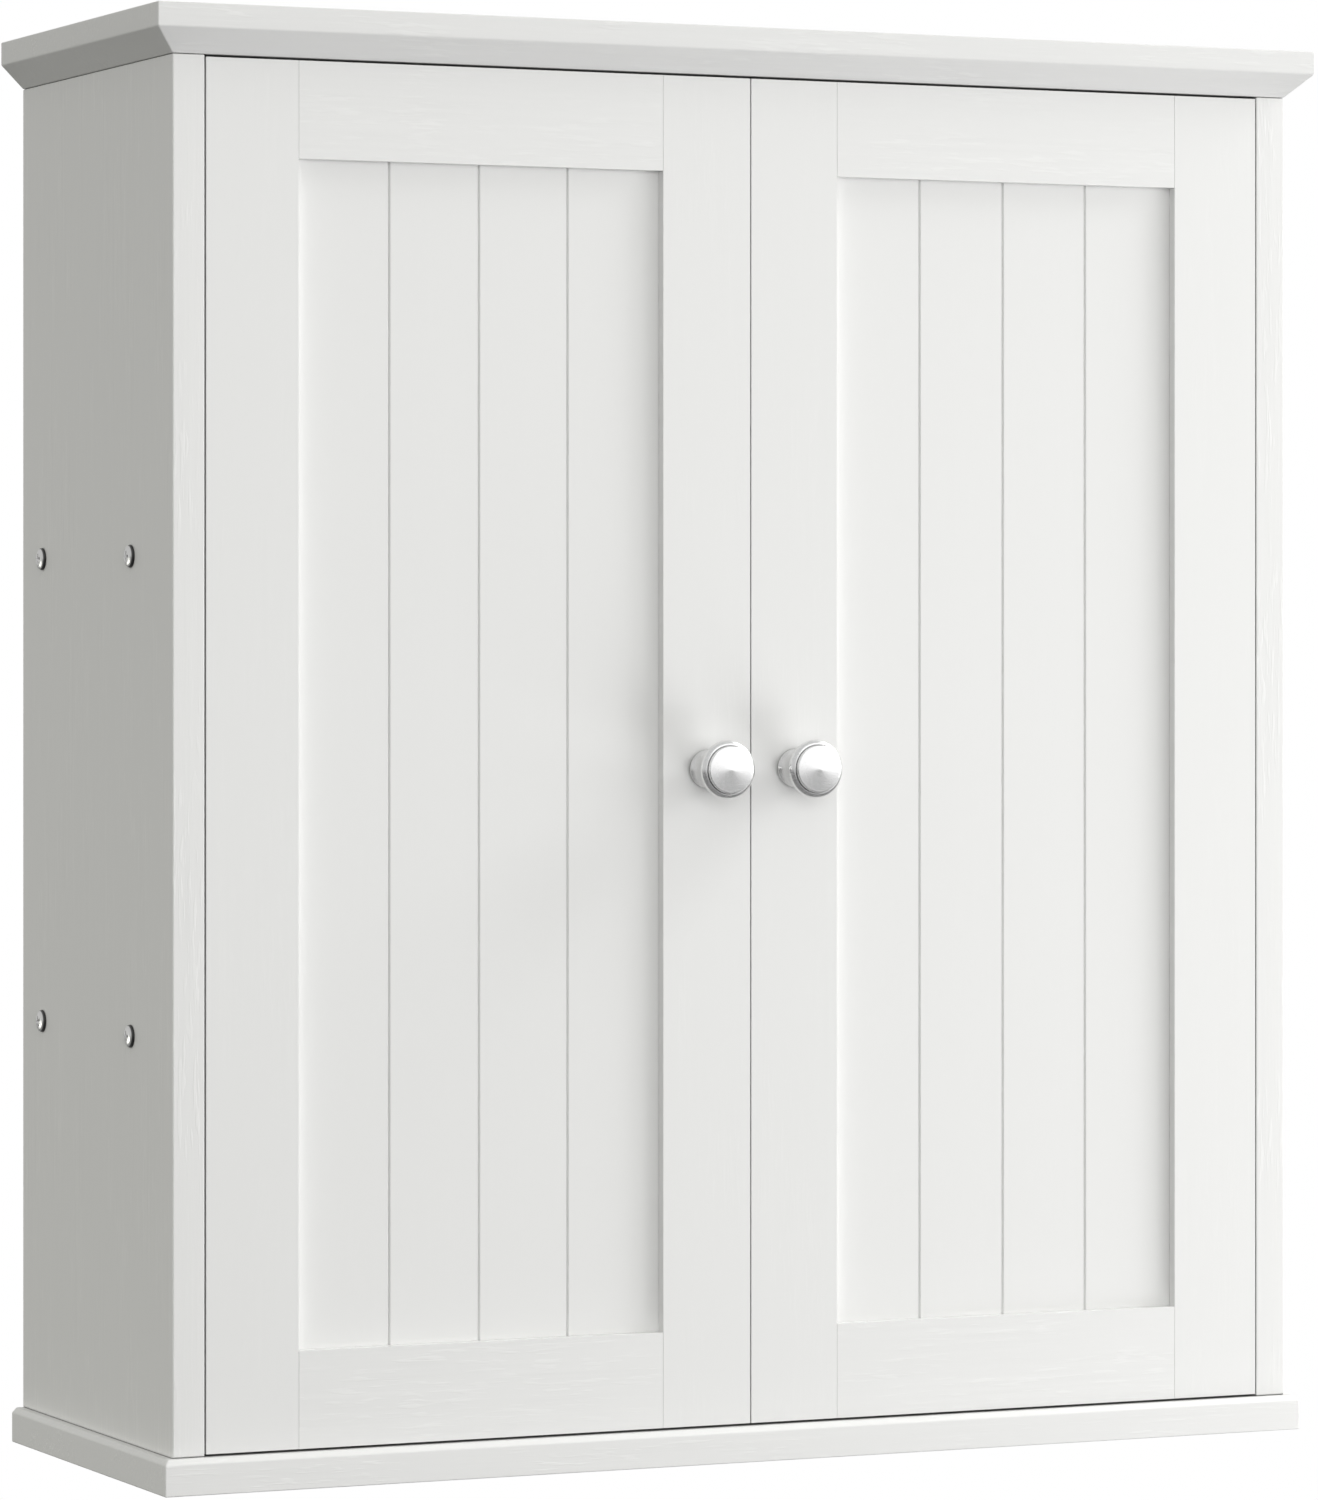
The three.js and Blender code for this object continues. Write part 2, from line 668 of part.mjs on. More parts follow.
const PLATE_THICKNESS = 2;
const PLATE_DEPTHS = [34, 70];
const PLATE_HALF_HEIGHT = 7;
const PLATE_WING_HALF_WIDTH = 5;
const PLATE_WING_HALF_HEIGHT = 21;
const PLATE_SCREW_DEPTH = 52;
const PLATE_SCREW_SPACING = 32;
const SPINE_DEPTHS = [35, 69];
const SPINE_HALF_HEIGHT = 3.6;
const SPINE_TOP = 6.4;

// The mounting plate: a base with wings for its two screws, and a raised spine for the arm.
function hingePlate() {
  const top = SEAM + PLATE_THICKNESS;
  const base = block(
    [SEAM, PLATE_DEPTHS[0], -PLATE_HALF_HEIGHT],
    [top, PLATE_DEPTHS[1], PLATE_HALF_HEIGHT],
  );
  const wings = block(
    [SEAM, PLATE_SCREW_DEPTH - PLATE_WING_HALF_WIDTH, -PLATE_WING_HALF_HEIGHT],
    [top, PLATE_SCREW_DEPTH + PLATE_WING_HALF_WIDTH, PLATE_WING_HALF_HEIGHT],
  );
  const spine = block(
    [SEAM, SPINE_DEPTHS[0], -SPINE_HALF_HEIGHT],
    [SPINE_TOP, SPINE_DEPTHS[1], SPINE_HALF_HEIGHT],
  );
  const holes = [-1, 1].map((end) => {
    const centre = [PLATE_SCREW_DEPTH, (end * PLATE_SCREW_SPACING) / 2];
    return rodX(SCREW_HOLE_RADIUS, centre, -1, top + 1, SCREW_SIDES);
  });
  return carve(base, holes, [wings, spine]);
}

const ARM_THICKNESS = 2.2;
const ARM_REAR = 76;
const ARM_BEND = 36;
const NOSE_OUTLINE = [
  [23.4, 8.4],
  [24.6, 7.5],
  [26.4, 7.5],
  [27.7, 8.8],
  [27.7, 20],
  [24, 21.4],
  [20.4, 17],
  [19.6, 14.4],
  [19.6, 12],
];
const FORK_DEPTH = 17;

// The arm runs along the plate, turns across behind the door and dips into the cup, where
// each cheek of its forked nose carries one stub pin.
function hingeArm() {
  const along = SPINE_TOP + RUNNING_GAP + ARM_THICKNESS / 2;
  const path = [[along, ARM_REAR], [along, ARM_BEND], [12, 26.5], [25.6, 19.5]];
  const bar = prismZ(strip(path, ARM_THICKNESS), -ARM_HALF_HEIGHT, ARM_HALF_HEIGHT);
  const nose = prismZ(NOSE_OUTLINE, -ARM_HALF_HEIGHT, ARM_HALF_HEIGHT);
  const fork = block([0, 0, -FORK_HALF_HEIGHT], [CUP_CENTRE * 2, FORK_DEPTH, FORK_HALF_HEIGHT]);
  const slottedNose = carve(nose, [fork]);
  const pinReach = ARM_HALF_HEIGHT - CHEEK / 2;
  const pins = Object.values(LINKS).map(({ pin, zSide }) => {
    const cheekEnd = zSide * pinReach;
    return rodZ(PIN_RADIUS, pin, Math.min(cheekEnd, 0), Math.max(cheekEnd, 0), SCREW_SIDES);
  });
  return carve(bar, [], [slottedNose, ...pins]);
}

// A bent link with an eye around its pin. Its far end hooks into the cup.
function hingeLink({ pin, bend, end, zSide }) {
  const near = RUNNING_GAP * zSide;
  const far = (RUNNING_GAP + LINK_HEIGHT) * zSide;
  const z0 = Math.min(near, far);
  const z1 = Math.max(near, far);
  const bar = prismZ(strip([pin, bend, end], LINK_THICKNESS), z0, z1);
  const eye = rodZ(EYE_RADIUS, pin, z0, z1, EYE_SIDES);
  const hole = rodZ(PIN_RADIUS + RUNNING_GAP, pin, z0 - 1, z1 + 1, EYE_SIDES);
  return carve(bar, [hole], [eye]);
}

function buildHinge(prefix, orient) {
  const hinge = new THREE.Group();
  piece(hinge, `${prefix}_hinge_cup`, orient(hingeCup()), nickel);
  piece(hinge, `${prefix}_hinge_plate`, orient(hingePlate()), nickel);
  piece(hinge, `${prefix}_hinge_arm`, orient(hingeArm()), nickel);
  for (const [name, link] of Object.entries(LINKS)) {
    piece(hinge, `${prefix}_${name}`, orient(hingeLink(link)), nickel);
  }
  return hinge;
}

// ---- The cabinet ----

function buildCabinet() {
  const cabinet = new THREE.Group();
  cabinet.add(buildCarcass(), buildShelfScrews(), buildEndScrews());
  const sides = {
    left: { x: -INNER_X, orient: (geometry) => geometry },
    right: { x: INNER_X, orient: mirrored },
  };
  for (const [sideName, { x, orient }] of Object.entries(sides)) {
    const front = new THREE.Group();
    front.position.set(x, FRONT_Y, 0);
    front.add(buildDoor(sideName, orient));
    for (const [heightName, z] of Object.entries(HINGE_HEIGHTS)) {
      const hinge = buildHinge(`${sideName}_${heightName}`, orient);
      hinge.position.z = z;
      front.add(hinge);
    }
    cabinet.add(front);
  }
  return cabinet;
}

export default buildCabinet();
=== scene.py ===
"""A white hanging wall cabinet with two inset doors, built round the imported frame.

Everything is in metres in the frame's axes: +X to the right, +Y to the wall, +Z up.
The boards keep the frame's shapes and get eased edges and an embossed white foil.
Knobs, screws and hinge details are finer meshes at the frame's places.
"""

import math

import bmesh
import bpy
from mathutils import Matrix, Vector


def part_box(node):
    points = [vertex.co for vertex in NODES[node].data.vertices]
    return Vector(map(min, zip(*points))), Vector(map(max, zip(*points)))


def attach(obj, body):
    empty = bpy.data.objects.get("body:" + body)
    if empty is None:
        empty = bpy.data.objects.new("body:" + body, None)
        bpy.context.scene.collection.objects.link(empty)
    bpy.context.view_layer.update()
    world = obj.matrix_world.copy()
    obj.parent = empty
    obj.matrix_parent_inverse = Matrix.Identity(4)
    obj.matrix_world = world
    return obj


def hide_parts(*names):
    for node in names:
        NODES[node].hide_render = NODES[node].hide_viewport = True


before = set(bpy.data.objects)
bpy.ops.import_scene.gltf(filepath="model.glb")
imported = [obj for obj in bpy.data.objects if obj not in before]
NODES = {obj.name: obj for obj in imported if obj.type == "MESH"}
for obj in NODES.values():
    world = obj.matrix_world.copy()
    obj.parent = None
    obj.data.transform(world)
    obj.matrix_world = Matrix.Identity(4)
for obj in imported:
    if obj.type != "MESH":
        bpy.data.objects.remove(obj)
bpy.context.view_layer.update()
SIDES = ("left", "right")
LEVELS = ("upper", "lower")
MM = 0.001
SQUARE = ((-1, -1), (1, -1), (1, 1), (-1, 1))


# ---- Camera, lights and floor ----

CAMERA_PLACE = Vector((-1.1443, -2.6071, -0.2072))
CAMERA_TURN = math.radians(-24.496)
CAMERA_LENS = 150.587
CAMERA_SHIFT_Y = -0.07812
CAMERA_SENSOR = 36
CAMERA_REACH = 50

WHITE_LIGHT = (1, 1, 1)
WARM_LIGHT = (1, 1, 0.92)
ROOM_LIGHT = (1, 1, 0.955)

MIDDLE = Vector((0, -0.1, -0.26))
SOFTBOX_DISTANCE = 2.6
FLOOR_REACH = 12
FLOOR_Z = -1.3
FLOOR_LIGHT_PLACE = (1.4, -1.2, FLOOR_Z + 0.02)

# How bright the world and floor are, as light on matt surfaces and as seen in metal.
WORLD_STRENGTHS = (0.545, 0.6)
FLOOR_STRENGTHS = (0, 0.22)


def add_camera():
    data = bpy.data.cameras.new("camera")
    data.lens = CAMERA_LENS
    data.sensor_width = CAMERA_SENSOR
    data.shift_y = CAMERA_SHIFT_Y
    data.clip_end = CAMERA_REACH
    camera = bpy.data.objects.new("camera", data)
    camera.location = CAMERA_PLACE
    camera.rotation_euler = (math.radians(90), 0, CAMERA_TURN)
    bpy.context.scene.collection.objects.link(camera)
    bpy.context.scene.camera = camera


def add_panel_light(name, place, towards, size, power, tint=WHITE_LIGHT, reaches="matt and metal"):
    """A rectangular light. It may reach only matt surfaces, or show only in reflections."""
    data = bpy.data.lights.new(name, "AREA")
    data.shape = "RECTANGLE"
    data.size, data.size_y = size
    data.energy = power
    data.color = tint
    light = bpy.data.objects.new(name, data)
    light.location = place
    light.rotation_euler = Vector(towards).to_track_quat("-Z", "Y").to_euler()
    light.visible_glossy = "metal" in reaches
    light.visible_diffuse = "matt" in reaches
    bpy.context.scene.collection.objects.link(light)


def add_softbox(name, azimuth, elevation, size, power, **rest):
    """A light aimed at the cabinet's middle. Azimuth is 0 in front and 90 to the right."""
    turn, rise = math.radians(azimuth), math.radians(elevation)
    outward = Vector((
        math.sin(turn) * math.cos(rise),
        -math.cos(turn) * math.cos(rise),
        math.sin(rise),
    ))
    add_panel_light(name, MIDDLE + SOFTBOX_DISTANCE * outward, -outward, size, power, **rest)


def add_lights():
    """Most light comes from the right, with a bright floor in front on that side."""
    add_softbox("front", -15, 5, (1.2, 1.2), 20, reaches="matt")
    add_softbox("right", 60, 5, (1.2, 1.2), 8.4)
    add_softbox("high_right", 80, 35, (1.2, 1.2), 50)
    add_softbox("low_rear_left", -125, -15, (1.2, 0.5), 9.7, tint=WARM_LIGHT)
    add_panel_light("floor_right", FLOOR_LIGHT_PLACE, (0, 0, 1), (1.8, 1.6), 32, reaches="matt")
    add_softbox("white_card", 27, 20, (2.6, 2.0), 12, reaches="metal")
    add_softbox("low_white_card", 50, -8, (1.1, 1.0), 3.2, reaches="metal")


def white_behind(tree, kind, on_matt, in_metal):
    """White to the camera, with other strengths as light on matt surfaces and as seen in metal."""
    path = add(tree, "ShaderNodeLightPath")
    seen = add(tree, kind, {"Color": (1, 1, 1, 1), "Strength": 1})
    matt = add(tree, kind, {"Color": (*ROOM_LIGHT, 1), "Strength": on_matt})
    metal = add(tree, kind, {"Color": (1, 1, 1, 1), "Strength": in_metal})
    light = add(
        tree, "ShaderNodeMixShader",
        {0: path.outputs["Is Glossy Ray"], 1: matt.outputs[0], 2: metal.outputs[0]},
    )
    return add(
        tree, "ShaderNodeMixShader",
        {0: path.outputs["Is Camera Ray"], 1: light.outputs[0], 2: seen.outputs[0]},
    ).outputs[0]


def add_world(on_matt, in_metal):
    world = bpy.data.worlds.new("studio")
    bpy.context.scene.world = world
    world.use_nodes = True
    tree = world.node_tree
    tree.nodes.clear()
    shader = white_behind(tree, "ShaderNodeBackground", on_matt, in_metal)
    add(tree, "ShaderNodeOutputWorld", {"Surface": shader})


def add_floor(on_matt, in_metal):
    data = bpy.data.meshes.new("floor")
    corners = [(x * FLOOR_REACH, y * FLOOR_REACH, FLOOR_Z) for x, y in SQUARE]
    data.from_pydata(corners, [], [(0, 1, 2, 3)])
    floor = bpy.data.objects.new("floor", data)
    bpy.context.scene.collection.objects.link(floor)
    material, tree = new_material("floor_white")
    shader = white_behind(tree, "ShaderNodeEmission", on_matt, in_metal)
    add(tree, "ShaderNodeOutputMaterial", {"Surface": shader})
    data.materials.append(material)


# ---- Node helpers ----


def add(tree, kind, inputs=None, **settings):
    """Adds a node. An input given as a socket is linked, and any other value is set."""
    node = tree.nodes.new(kind)
    for name, value in settings.items():
        setattr(node, name, value)
    for key, value in (inputs or {}).items():
        if isinstance(value, bpy.types.NodeSocket):
            tree.links.new(value, node.inputs[key])
        else:
            node.inputs[key].default_value = value
    return node


def new_material(name):
    material = bpy.data.materials.new(name)
    material.use_nodes = True
    material.node_tree.nodes.clear()
    return material, material.node_tree


def ramp(tree, factor, stops):
    """A colour ramp in grey, from (position, value) stops."""
    node = add(tree, "ShaderNodeValToRGB", {"Fac": factor})
    elements = node.color_ramp.elements
    while len(elements) < len(stops):
        elements.new(0.5)
    for element, (position, value) in zip(elements, stops):
        element.position = position
        element.color = (value, value, value, 1)
    return node.outputs["Color"]


def stretched_noise(tree, grain, width, length, detail=2, seed=0.0):
    """Noise drawn out along one axis: spots of that width, and that length along the grain."""
    place = add(tree, "ShaderNodeTexCoord").outputs["Object"]
    scale = [1 / width] * 3
    scale["XYZ".index(grain)] = 1 / length
    mapped = add(
        tree, "ShaderNodeMapping",
        {"Vector": place, "Location": (seed, seed, seed), "Scale": scale},
    )
    noise = add(
        tree, "ShaderNodeTexNoise",
        {"Vector": mapped.outputs[0], "Scale": 1, "Detail": detail},
    )
    return noise.outputs["Fac"]


def math_node(tree, operation, a, b):
    return add(tree, "ShaderNodeMath", {0: a, 1: b}, operation=operation).outputs[0]


def shaded(tree, tint, shade):
    """A tint made darker by a grey factor. Sockets 0, 6 and 7 are the mix's factor and colours."""
    return add(
        tree, "ShaderNodeMix", {0: 1.0, 6: (*tint, 1), 7: shade},
        data_type="RGBA", blend_type="MULTIPLY",
    ).outputs[2]


def nearness(tree, distance):
    """Ambient occlusion for painted shade: low in joints and inner corners closer than the distance,
    else 1.
    """
    return add(tree, "ShaderNodeAmbientOcclusion", {"Distance": distance}, samples=8).outputs["AO"]


def output_material(tree, inputs):
    """Ends a material with the principled shader."""
    shader = add(tree, "ShaderNodeBsdfPrincipled", inputs)
    add(tree, "ShaderNodeOutputMaterial", {"Surface": shader.outputs[0]})


# ---- Sizes of the turned metal pieces ----

# From the foot on the door to the edge of the face. The face is a cone up to its apex.
KNOB_PROFILE_MM = (
    (0, 0.1), (8.0, 0.1), (8.3, 0.3), (8.3, 1.0), (8.05, 1.35),
    (7.4, 2.2), (6.75, 3.4), (6.25, 5.2), (6.0, 7.5), (6.1, 10), (6.6, 12.4), (7.6, 14.8),
    (9.1, 16.8), (10.8, 18.4), (12.0, 19.5), (12.4, 20.2), (12.5, 20.8), (12.4, 21.3),
    (12.05, 21.9), (11.5, 22.45), (10.8, 22.8), (10.4, 22.85), (10.15, 22.65), (10.05, 23.0),
    (10.05, 24.0), (9.95, 24.3), (9.7, 24.45),
)
KNOB_APEX_MM = 25.15

# Rings on the cone, as shares of its edge radius. The outer and inner ones keep its shading straight.
CONE_RINGS = (0.985, 0.66, 0.33, 0.02, 0)

# Painted shade along the knob's height, as a factor on the metal's colour: darkest at the foot's edge
# and on the waist under the head, from 0 at the foot to 1 at the apex.
KNOB_PAINTED_SHADE = (
    (0, 0.45), (0.06, 0.85), (0.3, 0.75), (0.6, 0.28), (0.74, 0.32), (0.82, 0.92), (0.95, 1),
)

# A screw's head is a list of (radius, z) points up to the middle of its top. A pan head is
# the dome below, times its radius and height in millimetres. A shank is (radius, length).
PAN_DOME = (
    (1, 0), (1.015, 0.08), (1, 0.2), (0.965, 0.42), (0.88, 0.66), (0.72, 0.86), (0.48, 0.97), (0, 1),
)
SIDE_SCREW_HEAD = (4.75, 2.1)
KNOB_SCREW_HEAD = (3.8, 2.0)
CUP_SCREW_HEAD = (3.1, 1.1)
PLATE_SCREW_HEAD = (3.6, 1.3)
ARM_SCREW_HEAD = (3.6, 1.4)
SINKING_HEAD = ((2, -2.5), (4, -0.45), (4, -0.1), (3.9, 0), (0, 0))

BOARD_SHANK = (2.0, 38)
END_SHANK = (2.0, 44)
KNOB_SHANK = (2.0, 22)
HINGE_SHANK = (1.5, 9)
ARM_SHANK = (1.5, 3)
SHANK_TAPER = 2.5

# The cross's reach, half width and depth, as shares of the head's radius.
CROSS_SHARES = (0.53, 0.13, 0.32)
CUT_OVERSHOOT = 0.3 * MM

# Painted shade on the side wall of a side screw's head, up to this share of its height.
SIDE_SCREW_SHADED_RIM = 0.62

# How far each screw was driven round, in radians. The end screws' turns step from one to the next.
SIDE_SCREW_TURNS = (0.0, 0.14, -0.1, 0.24, 0.05, 0.37, -0.2, 0.09)
END_SCREW_TURN = 0.7
KNOB_SCREW_TURN = 0.3
HINGE_SCREW_TURN = 0.4

# Facets round each turned piece.
KNOB_SEGMENTS = 96
SIDE_SCREW_SEGMENTS = 48
SCREW_SEGMENTS = 32
HINGE_SCREW_SEGMENTS = 24


# ---- Materials ----

WHITE = (0.845, 0.845, 0.839)
# Painted shade: the crown's foil is made this much darker than the other boards' foil.
CROWN_PAINTED_SHADE = 0.957
BACK_WHITE = (0.8, 0.8, 0.78)
# Painted shade from ambient occlusion: the darkest share of the foil's tint in the carcase boards'
# joints, and how far the occlusion reaches on the boards and on the knobs.
CARCASE_JOINT_SHADE = 0.3
CREVICE = 2.5 * MM
KNOB_CREVICE = 1.2 * MM

# The foil's wood figure, as the width and length of each kind of mark.
CLUSTER = (14 * MM, 60 * MM)
DASH = (1.5 * MM, 13 * MM)
STREAK = (2.2 * MM, 90 * MM)
EMBOSS_DEPTH = 0.12 * MM


def foil(name, grain, emboss=1.0, joint=0.88, tint=WHITE, seed=0.0):
    """White foil with wood pores pressed into it: short dashes in clusters, and faint streaks.

    Joints and inner corners get painted shade from ambient occlusion, down to the given share of the
    tint.
    """
    material, tree = new_material(name)
    cluster = stretched_noise(tree, grain, *CLUSTER, detail=2, seed=seed)
    dash = stretched_noise(tree, grain, *DASH, detail=1, seed=seed + 3)
    streak = stretched_noise(tree, grain, *STREAK, detail=3, seed=seed + 7)
    where = ramp(tree, cluster, [(0.45, 0.15), (0.6, 1.0)])
    dashes = math_node(tree, "MULTIPLY", ramp(tree, dash, [(0.55, 0.0), (0.68, 1.0)]), where)
    relief = math_node(tree, "ADD", dashes, math_node(tree, "MULTIPLY", streak, 0.8))
    bump = add(
        tree, "ShaderNodeBump",
        {"Strength": 0.3 * emboss, "Distance": EMBOSS_DEPTH, "Height": relief},
    )
    light_dash = math_node(tree, "MULTIPLY", dashes, 0.022 * emboss)
    streaking = math_node(tree, "MULTIPLY", math_node(tree, "SUBTRACT", streak, 0.5), 0.065 * emboss)
    streaking = math_node(tree, "MULTIPLY", streaking, where)
    figure = math_node(tree, "ADD", math_node(tree, "ADD", light_dash, streaking), 0.995)
    half_way = 0.5 * (1 + joint)
    # Painted shade: ambient occlusion darkens the colour in joints and inner corners.
    crevice_shade = ramp(tree, nearness(tree, CREVICE), [(0.0, joint), (0.45, half_way), (0.7, 1.0)])
    output_material(tree, {
        "Base Color": shaded(tree, tint, math_node(tree, "MULTIPLY", figure, crevice_shade)),
        "Roughness": ramp(tree, dashes, [(0.0, 0.44), (1.0, 0.5)]),
        "Normal": bump.outputs[0],
    })
    return material


def spun_metal(name, tint, roughness, brushing):
    """Metal with fine rings left by turning, which spread its reflections out from the centre.

    The knob's colour gets painted shade along its height, darkest on the waist under the head, and
    painted shade from ambient occlusion in its crevices.
    """
    material, tree = new_material(name)
    place = add(tree, "ShaderNodeTexCoord").outputs["Object"]
    fine = add(tree, "ShaderNodeTexNoise", {"Vector": place, "Scale": 2500, "Detail": 2}).outputs["Fac"]
    tangent = add(tree, "ShaderNodeTangent", direction_type="RADIAL", axis="Z")
    height = add(tree, "ShaderNodeSeparateXYZ", {"Vector": place}).outputs["Z"]
    share = math_node(tree, "DIVIDE", height, KNOB_APEX_MM * MM)
    # Painted shade along the height and in the crevices.
    along = ramp(tree, share, [(position, shade_factor * tint) for position, shade_factor in KNOB_PAINTED_SHADE])
    crevice_shade = ramp(tree, nearness(tree, KNOB_CREVICE), [(0.1, 0.2), (0.8, 1.0)])
    output_material(tree, {
        "Base Color": math_node(tree, "MULTIPLY", along, crevice_shade),
        "Metallic": 1.0,
        "Roughness": ramp(tree, fine, [(0.3, roughness * 0.92), (0.7, roughness * 1.08)]),
        "Anisotropic": brushing,
        "Anisotropic Rotation": 0.25,
        "Tangent": tangent.outputs[0],
    })
    return material


def plated_metal(name, tint, roughness, shaded_rim_height=0.0):
    """Pressed and plated steel, with faint clouding in its gloss.

    Given a rim height, a screw's head gets painted shade below that height over its seat.
    """
    material, tree = new_material(name)
    place = add(tree, "ShaderNodeTexCoord").outputs["Object"]
    cloud = add(tree, "ShaderNodeTexNoise", {"Vector": place, "Scale": 350, "Detail": 4}).outputs["Fac"]
    bump = add(tree, "ShaderNodeBump", {"Strength": 0.1, "Distance": 0.02 * MM, "Height": cloud})
    colour = (*tint, 1)
    if shaded_rim_height:
        # Painted shade on the head's side wall, below the rim height.
        height = add(tree, "ShaderNodeSeparateXYZ", {"Vector": place}).outputs["Z"]
        share = math_node(tree, "DIVIDE", height, shaded_rim_height)
        colour = shaded(tree, tint, ramp(tree, share, [(0.0, 0.06), (0.75, 0.14), (1.0, 1.0)]))
    output_material(tree, {
        "Base Color": colour,
        "Metallic": 1.0,
        "Roughness": ramp(tree, cloud, [(0.3, roughness * 0.8), (0.7, roughness * 1.25)]),
        "Normal": bump.outputs[0],
    })
    return material


# ---- Mesh helpers ----

SMOOTH_ANGLE = 35
KNOB_SMOOTH_ANGLE = 50
BEVEL_ANGLE = 30
SAME_CORNER = 0.001 * MM
SAME_POINT = 0.0001 * MM


def smooth(data, angle):
    """Smooth faces, apart from the edges that are sharper than the angle."""
    for polygon in data.polygons:
        polygon.use_smooth = True
    data.set_sharp_from_angle(angle=angle)


def object_from(name, bm, material, smooth_angle=SMOOTH_ANGLE):
    bmesh.ops.recalc_face_normals(bm, faces=bm.faces)
    data = bpy.data.meshes.new(name)
    bm.to_mesh(data)
    bm.free()
    smooth(data, math.radians(smooth_angle))
    obj = bpy.data.objects.new(name, data)
    data.materials.append(material)
    bpy.context.scene.collection.objects.link(obj)
    return obj


def lathe(name, profile, material, segments, smooth_angle=SMOOTH_ANGLE):
    """A solid of revolution about Z, from (radius, z) points that start and end on the axis."""
    bm = bmesh.new()
    points = [bm.verts.new((radius, 0, z)) for radius, z in profile]
    edges = [bm.edges.new(pair) for pair in zip(points, points[1:])]
    bmesh.ops.spin(
        bm, geom=points + edges, cent=(0, 0, 0), axis=(0, 0, 1),
        angle=2 * math.pi, steps=segments, use_merge=True,
    )
    bmesh.ops.remove_doubles(bm, verts=bm.verts, dist=SAME_POINT)
    return object_from(name, bm, material, smooth_angle)


def ease_edges(obj, width, segments=3):
    """Joins the frame's split corners and rounds its sharp edges."""
    data = obj.data
    data.attributes.remove(data.attributes["custom_normal"])
    smooth(data, math.pi)
    weld = obj.modifiers.new("weld", "WELD")
    weld.merge_threshold = SAME_CORNER
    bevel = obj.modifiers.new("bevel", "BEVEL")
    bevel.width = width
    bevel.segments = segments
    bevel.limit_method = "ANGLE"
    bevel.angle_limit = math.radians(BEVEL_ANGLE)
    weighted = obj.modifiers.new("weighted", "WEIGHTED_NORMAL")
    weighted.mode = "FACE_AREA"


def set_material(node, material):
    data = NODES[node].data
    data.materials.clear()
    data.materials.append(material)


# ---- Boards ----

BOARD_EDGE = 0.6 * MM
CROWN_EDGE = 0.9 * MM
BASE_EDGE = 1.3 * MM
DOOR_EDGE = 0.1 * MM
PANEL_EDGE = 0.15 * MM
METAL_EDGE = 0.2 * MM


def finish_boards():
    # The crown gets a darker copy of the foil, as painted shade.
    crown_shaded_white = [CROWN_PAINTED_SHADE * value for value in WHITE]
    crown = foil("foil_crown_painted_shade", "X", emboss=1.8, joint=CARCASE_JOINT_SHADE, tint=crown_shaded_white, seed=5)
    across = foil("foil_grain_across", "X", emboss=1.5, joint=CARCASE_JOINT_SHADE, seed=17)
    upright = foil("foil_side_panel", "Z", emboss=1.5, joint=CARCASE_JOINT_SHADE, seed=11)
    stile = foil("foil_stile", "Z", emboss=0.3, seed=19)
    rail = foil("foil_rail", "X", emboss=1.2, seed=29)
    panel = foil("foil_panel", "Z", emboss=0.15, seed=23)
    back = foil("back_board_white", "Z", emboss=0.5, tint=BACK_WHITE, seed=31)
    finishes = {
        "crown_board": (crown, CROWN_EDGE),
        "base_board": (across, BASE_EDGE),
        "hanging_rail": (across, BOARD_EDGE),
        "shelf_lower": (across, BOARD_EDGE),
        "shelf_upper": (across, BOARD_EDGE),
        "back_panel": (back, PANEL_EDGE),
    }
    for side in SIDES:
        finishes[f"side_panel_{side}"] = (upright, BOARD_EDGE)
        finishes[f"{side}_hinge_stile"] = (stile, DOOR_EDGE)
        finishes[f"{side}_knob_stile"] = (stile, DOOR_EDGE)
        finishes[f"{side}_top_rail"] = (rail, DOOR_EDGE)
        finishes[f"{side}_bottom_rail"] = (rail, DOOR_EDGE)
        finishes[f"{side}_grooved_panel"] = (panel, PANEL_EDGE)
    for node, (material, edge) in finishes.items():
        set_material(node, material)
        ease_edges(NODES[node], edge)


# ---- Knobs ----


def knob_profile():
    """The whole turned outline, in metres."""
    edge_radius, edge_z = KNOB_PROFILE_MM[-1]
    cone = []
    for share in CONE_RINGS:
        cone.append((edge_radius * share, KNOB_APEX_MM + (edge_z - KNOB_APEX_MM) * share))
    return [(radius * MM, z * MM) for radius, z in (*KNOB_PROFILE_MM, *cone)]


def add_knob(side, material):
    low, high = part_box(f"{side}_knob")
    knob = lathe(f"{side}_knob_turned", knob_profile(), material, KNOB_SEGMENTS, KNOB_SMOOTH_ANGLE)
    knob.matrix_world = Matrix.Translation(((low.x + high.x) / 2, high.y, (low.z + high.z) / 2))
    knob.matrix_world = knob.matrix_world @ Matrix.Rotation(math.radians(90), 4, "X")
    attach(knob, f"{side}_door")
    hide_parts(f"{side}_knob")


# ---- Screws ----
#
# A screw is turned about Z with its head upwards, then laid where it belongs.


def pan_head(radius, height):
    return [(radius * r, height * z) for r, z in PAN_DOME]


def cut(obj, cutter):
    """Takes the cutter's shape out of obj and deletes the cutter, whose parts may cross."""
    boolean = obj.modifiers.new("cut", "BOOLEAN")
    boolean.object = cutter
    boolean.solver = "EXACT"
    boolean.use_self = True
    graph = bpy.context.evaluated_depsgraph_get()
    graph.update()
    data = bpy.data.meshes.new_from_object(obj.evaluated_get(graph))
    obj.modifiers.clear()
    obj.data = data
    bpy.data.objects.remove(cutter)


